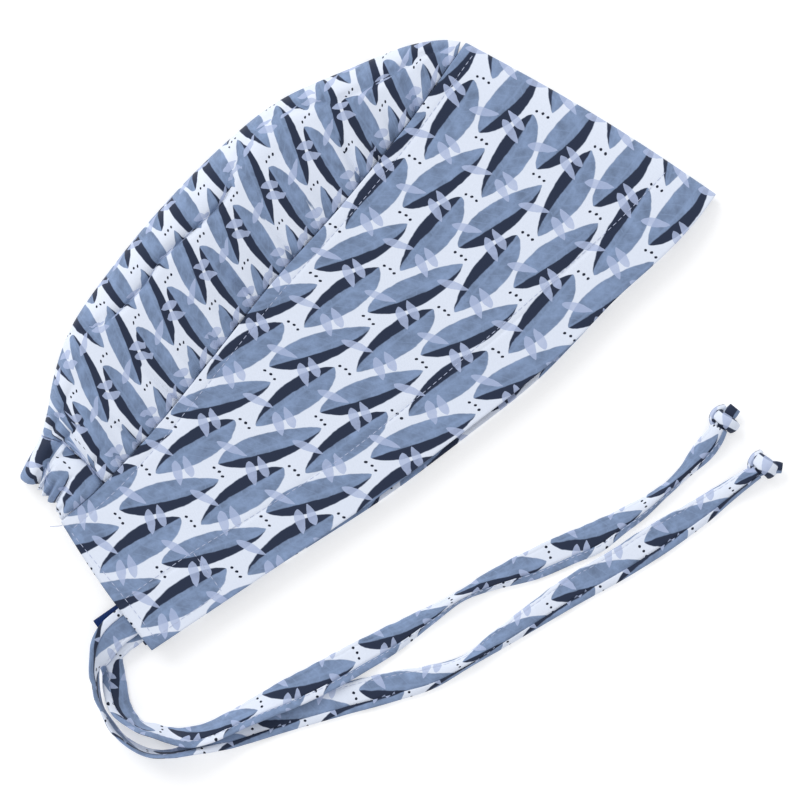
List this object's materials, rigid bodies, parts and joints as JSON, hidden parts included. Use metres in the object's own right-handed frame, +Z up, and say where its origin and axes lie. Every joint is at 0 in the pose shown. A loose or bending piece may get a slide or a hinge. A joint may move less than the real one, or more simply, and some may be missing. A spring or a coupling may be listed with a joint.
{
  "type": "surgical scrub cap",
  "caption": "Printed cotton surgical scrub cap lying on its side, with a folded brow band, gathered crown, elastic nape casing and knotted ties.",
  "frame": {"origin": "on the surface that the cap lies on, below the middle of the cap without its ties", "axes": "+X along the rim from the nape to the brow, +Y from the rim to the crown, +Z up through the lying cap"},
  "size_m": [0.3117, 0.2327, 0.0184],
  "materials": {
    "printed_cotton": "matt plain-woven cotton with an all-over leaf print in slate blue, navy grey and lilac on a pale lavender ground",
    "navy_satin": "plain navy satin ribbon with a soft sheen"
  },
  "bodies": {
    "root": {"band": "printed_cotton", "crown": "printed_cotton", "elastic_casing": "printed_cotton", "tie_near": "printed_cotton", "tie_far": "printed_cotton", "knot_near": "printed_cotton", "knot_far": "printed_cotton", "side_tab": "navy_satin"}
  },
  "joints": []
}
